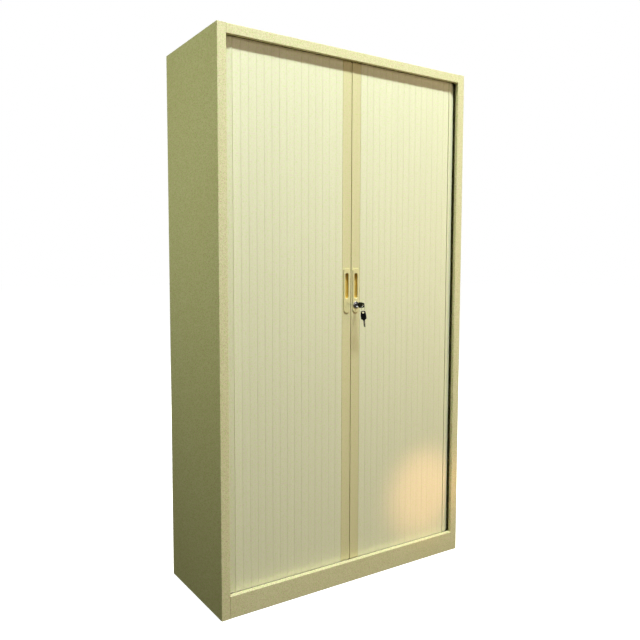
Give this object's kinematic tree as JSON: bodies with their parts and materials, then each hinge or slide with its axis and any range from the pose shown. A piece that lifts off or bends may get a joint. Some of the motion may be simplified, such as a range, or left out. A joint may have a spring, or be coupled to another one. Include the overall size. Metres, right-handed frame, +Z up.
{
  "type": "tambour door cupboard",
  "caption": "Free-standing steel cupboard with two side-opening roller-shutter curtains of upright slats, moulded pull handles, a key lock and inner shelves.",
  "frame": {"origin": "centre of the base footprint, on the floor", "axes": "+X to the right of someone facing the doors, +Y from the doors to the back, +Z up"},
  "size_m": [1, 0.4344, 1.8],
  "materials": {
    "cream_paint": "fine textured powder coat",
    "inner_paint": "fine textured powder coat",
    "slat_plastic": "satin extruded plastic",
    "rail_plastic": "satin extruded plastic",
    "handle_plastic": "smooth moulded plastic",
    "guide_plastic": "low-friction dark plastic",
    "lock_chrome": "bright plated",
    "key_steel": "nickel plated",
    "key_plastic": "moulded black plastic",
    "clip_steel": "zinc plated",
    "buffer_rubber": "matt rubber"
  },
  "bodies": {
    "root": {"left_side_panel": "cream_paint", "right_side_panel": "cream_paint", "top_panel": "cream_paint", "back_panel": "inner_paint", "front_plinth": "cream_paint", "base_pan": "inner_paint", "left_inner_liner": "inner_paint", "right_inner_liner": "inner_paint", "shelf_1": "inner_paint", "shelf_2": "inner_paint", "shelf_3": "inner_paint", "shelf_4": "inner_paint", "shelf_clips": "clip_steel", "lower_guide": "guide_plastic", "upper_guide": "guide_plastic", "door_buffers": "buffer_rubber", "assembly_screws": "clip_steel", "tail_slats": "slat_plastic"},
    "left_door": {"left_lead_rail": "rail_plastic", "left_handle": "handle_plastic"},
    "right_door": {"right_lead_rail": "rail_plastic", "right_handle": "handle_plastic", "lock_housing": "lock_chrome"},
    "lock_core": {"lock_plug": "lock_chrome", "lock_hook": "key_steel"},
    "key": {"key": "key_steel", "key_head": "key_plastic"},
    "ring": {"key_ring": "key_steel"},
    "spare": {"spare_key": "key_steel", "spare_key_head": "key_plastic"},
    "left_slat_01": {"left_slat_01": "slat_plastic"},
    "left_slat_02": {"left_slat_02": "slat_plastic"},
    "left_slat_03": {"left_slat_03": "slat_plastic"},
    "left_slat_04": {"left_slat_04": "slat_plastic"},
    "left_slat_05": {"left_slat_05": "slat_plastic"},
    "left_slat_06": {"left_slat_06": "slat_plastic"},
    "left_slat_07": {"left_slat_07": "slat_plastic"},
    "left_slat_08": {"left_slat_08": "slat_plastic"},
    "left_slat_09": {"left_slat_09": "slat_plastic"},
    "left_slat_10": {"left_slat_10": "slat_plastic"},
    "left_slat_11": {"left_slat_11": "slat_plastic"},
    "left_slat_12": {"left_slat_12": "slat_plastic"},
    "left_slat_13": {"left_slat_13": "slat_plastic"},
    "left_slat_14": {"left_slat_14": "slat_plastic"},
    "left_slat_15": {"left_slat_15": "slat_plastic"},
    "right_slat_01": {"right_slat_01": "slat_plastic"},
    "right_slat_02": {"right_slat_02": "slat_plastic"},
    "right_slat_03": {"right_slat_03": "slat_plastic"},
    "right_slat_04": {"right_slat_04": "slat_plastic"},
    "right_slat_05": {"right_slat_05": "slat_plastic"},
    "right_slat_06": {"right_slat_06": "slat_plastic"},
    "right_slat_07": {"right_slat_07": "slat_plastic"},
    "right_slat_08": {"right_slat_08": "slat_plastic"},
    "right_slat_09": {"right_slat_09": "slat_plastic"},
    "right_slat_10": {"right_slat_10": "slat_plastic"},
    "right_slat_11": {"right_slat_11": "slat_plastic"},
    "right_slat_12": {"right_slat_12": "slat_plastic"},
    "right_slat_13": {"right_slat_13": "slat_plastic"},
    "right_slat_14": {"right_slat_14": "slat_plastic"},
    "right_slat_15": {"right_slat_15": "slat_plastic"}
  },
  "joints": [
    {"name": "left_door_slide", "type": "slide", "parent": "root", "child": "left_door", "axis": [-1, 0, 0], "range_m": [0, 0.4045], "deforming": ["left_slat_01", "left_slat_02", "left_slat_03", "left_slat_04", "left_slat_05", "left_slat_06", "left_slat_07", "left_slat_08", "left_slat_09", "left_slat_10", "left_slat_11", "left_slat_12", "left_slat_13", "left_slat_14", "left_slat_15"]},
    {"name": "right_door_slide", "type": "slide", "parent": "root", "child": "right_door", "axis": [1, 0, 0], "range_m": [0, 0.4045], "deforming": ["right_slat_01", "right_slat_02", "right_slat_03", "right_slat_04", "right_slat_05", "right_slat_06", "right_slat_07", "right_slat_08", "right_slat_09", "right_slat_10", "right_slat_11", "right_slat_12", "right_slat_13", "right_slat_14", "right_slat_15"]},
    {"name": "left_slat_01_slide", "type": "slide", "parent": "root", "child": "left_slat_01", "axis": [-1, 0, 0], "range_m": [0, 0.4347]},
    {"name": "left_slat_02_slide", "type": "slide", "parent": "root", "child": "left_slat_02", "axis": [-1, 0, 0], "range_m": [0, 0.4077]},
    {"name": "left_slat_03_slide", "type": "slide", "parent": "root", "child": "left_slat_03", "axis": [-1, 0, 0], "range_m": [0, 0.3807]},
    {"name": "left_slat_04_slide", "type": "slide", "parent": "root", "child": "left_slat_04", "axis": [-1, 0, 0], "range_m": [0, 0.3537]},
    {"name": "left_slat_05_slide", "type": "slide", "parent": "root", "child": "left_slat_05", "axis": [-1, 0, 0], "range_m": [0, 0.3267]},
    {"name": "left_slat_06_slide", "type": "slide", "parent": "root", "child": "left_slat_06", "axis": [-1, 0, 0], "range_m": [0, 0.2997]},
    {"name": "left_slat_07_slide", "type": "slide", "parent": "root", "child": "left_slat_07", "axis": [-1, 0, 0], "range_m": [0, 0.2727]},
    {"name": "left_slat_08_slide", "type": "slide", "parent": "root", "child": "left_slat_08", "axis": [-1, 0, 0], "range_m": [0, 0.2457]},
    {"name": "left_slat_09_slide", "type": "slide", "parent": "root", "child": "left_slat_09", "axis": [-1, 0, 0], "range_m": [0, 0.2187]},
    {"name": "left_slat_10_slide", "type": "slide", "parent": "root", "child": "left_slat_10", "axis": [-1, 0, 0], "range_m": [0, 0.1917]},
    {"name": "left_slat_11_slide", "type": "slide", "parent": "root", "child": "left_slat_11", "axis": [-1, 0, 0], "range_m": [0, 0.1647]},
    {"name": "left_slat_12_slide", "type": "slide", "parent": "root", "child": "left_slat_12", "axis": [-1, 0, 0], "range_m": [0, 0.1377]},
    {"name": "left_slat_13_slide", "type": "slide", "parent": "root", "child": "left_slat_13", "axis": [-1, 0, 0], "range_m": [0, 0.1107]},
    {"name": "left_slat_14_slide", "type": "slide", "parent": "root", "child": "left_slat_14", "axis": [-1, 0, 0], "range_m": [0, 0.0837]},
    {"name": "left_slat_15_slide", "type": "slide", "parent": "root", "child": "left_slat_15", "axis": [-1, 0, 0], "range_m": [0, 0.0567]},
    {"name": "right_slat_01_slide", "type": "slide", "parent": "root", "child": "right_slat_01", "axis": [1, 0, 0], "range_m": [0, 0.4347]},
    {"name": "right_slat_02_slide", "type": "slide", "parent": "root", "child": "right_slat_02", "axis": [1, 0, 0], "range_m": [0, 0.4077]},
    {"name": "right_slat_03_slide", "type": "slide", "parent": "root", "child": "right_slat_03", "axis": [1, 0, 0], "range_m": [0, 0.3807]},
    {"name": "right_slat_04_slide", "type": "slide", "parent": "root", "child": "right_slat_04", "axis": [1, 0, 0], "range_m": [0, 0.3537]},
    {"name": "right_slat_05_slide", "type": "slide", "parent": "root", "child": "right_slat_05", "axis": [1, 0, 0], "range_m": [0, 0.3267]},
    {"name": "right_slat_06_slide", "type": "slide", "parent": "root", "child": "right_slat_06", "axis": [1, 0, 0], "range_m": [0, 0.2997]},
    {"name": "right_slat_07_slide", "type": "slide", "parent": "root", "child": "right_slat_07", "axis": [1, 0, 0], "range_m": [0, 0.2727]},
    {"name": "right_slat_08_slide", "type": "slide", "parent": "root", "child": "right_slat_08", "axis": [1, 0, 0], "range_m": [0, 0.2457]},
    {"name": "right_slat_09_slide", "type": "slide", "parent": "root", "child": "right_slat_09", "axis": [1, 0, 0], "range_m": [0, 0.2187]},
    {"name": "right_slat_10_slide", "type": "slide", "parent": "root", "child": "right_slat_10", "axis": [1, 0, 0], "range_m": [0, 0.1917]},
    {"name": "right_slat_11_slide", "type": "slide", "parent": "root", "child": "right_slat_11", "axis": [1, 0, 0], "range_m": [0, 0.1647]},
    {"name": "right_slat_12_slide", "type": "slide", "parent": "root", "child": "right_slat_12", "axis": [1, 0, 0], "range_m": [0, 0.1377]},
    {"name": "right_slat_13_slide", "type": "slide", "parent": "root", "child": "right_slat_13", "axis": [1, 0, 0], "range_m": [0, 0.1107]},
    {"name": "right_slat_14_slide", "type": "slide", "parent": "root", "child": "right_slat_14", "axis": [1, 0, 0], "range_m": [0, 0.0837]},
    {"name": "right_slat_15_slide", "type": "slide", "parent": "root", "child": "right_slat_15", "axis": [1, 0, 0], "range_m": [0, 0.0567]},
    {"name": "lock_turn", "type": "hinge", "parent": "right_door", "child": "lock_core", "pos_m": [0.019, -0.186, 0.964], "axis": [0, 1, 0], "range_deg": [0, 90]},
    {"name": "key_withdraw", "type": "slide", "parent": "lock_core", "child": "key", "axis": [0, -1, 0], "range_m": [0, 0.03]},
    {"name": "key_ring_swing", "type": "hinge", "parent": "key", "child": "ring", "pos_m": [0.019, -0.2237, 0.964], "axis": [1, 0, 0], "range_deg": [-40, 12]},
    {"name": "spare_key_swing", "type": "hinge", "parent": "ring", "child": "spare", "pos_m": [0.01918, -0.22385, 0.93937], "axis": [0.6428, 0.766, 0], "range_deg": [-25, 35]}
  ],
  "couplings": [
    {"joint": "left_slat_01_slide", "follows": "left_door_slide", "ratio": 1.0742},
    {"joint": "left_slat_02_slide", "follows": "left_door_slide", "ratio": 1.0074},
    {"joint": "left_slat_03_slide", "follows": "left_door_slide", "ratio": 0.94067},
    {"joint": "left_slat_04_slide", "follows": "left_door_slide", "ratio": 0.87392},
    {"joint": "left_slat_05_slide", "follows": "left_door_slide", "ratio": 0.80717},
    {"joint": "left_slat_06_slide", "follows": "left_door_slide", "ratio": 0.74042},
    {"joint": "left_slat_07_slide", "follows": "left_door_slide", "ratio": 0.67367},
    {"joint": "left_slat_08_slide", "follows": "left_door_slide", "ratio": 0.60692},
    {"joint": "left_slat_09_slide", "follows": "left_door_slide", "ratio": 0.54017},
    {"joint": "left_slat_10_slide", "follows": "left_door_slide", "ratio": 0.47342},
    {"joint": "left_slat_11_slide", "follows": "left_door_slide", "ratio": 0.40667},
    {"joint": "left_slat_12_slide", "follows": "left_door_slide", "ratio": 0.33993},
    {"joint": "left_slat_13_slide", "follows": "left_door_slide", "ratio": 0.27318},
    {"joint": "left_slat_14_slide", "follows": "left_door_slide", "ratio": 0.20643},
    {"joint": "left_slat_15_slide", "follows": "left_door_slide", "ratio": 0.13968},
    {"joint": "right_slat_01_slide", "follows": "right_door_slide", "ratio": 1.0742},
    {"joint": "right_slat_02_slide", "follows": "right_door_slide", "ratio": 1.0074},
    {"joint": "right_slat_03_slide", "follows": "right_door_slide", "ratio": 0.94067},
    {"joint": "right_slat_04_slide", "follows": "right_door_slide", "ratio": 0.87392},
    {"joint": "right_slat_05_slide", "follows": "right_door_slide", "ratio": 0.80717},
    {"joint": "right_slat_06_slide", "follows": "right_door_slide", "ratio": 0.74042},
    {"joint": "right_slat_07_slide", "follows": "right_door_slide", "ratio": 0.67367},
    {"joint": "right_slat_08_slide", "follows": "right_door_slide", "ratio": 0.60692},
    {"joint": "right_slat_09_slide", "follows": "right_door_slide", "ratio": 0.54017},
    {"joint": "right_slat_10_slide", "follows": "right_door_slide", "ratio": 0.47342},
    {"joint": "right_slat_11_slide", "follows": "right_door_slide", "ratio": 0.40667},
    {"joint": "right_slat_12_slide", "follows": "right_door_slide", "ratio": 0.33993},
    {"joint": "right_slat_13_slide", "follows": "right_door_slide", "ratio": 0.27318},
    {"joint": "right_slat_14_slide", "follows": "right_door_slide", "ratio": 0.20643},
    {"joint": "right_slat_15_slide", "follows": "right_door_slide", "ratio": 0.13968}
  ]
}
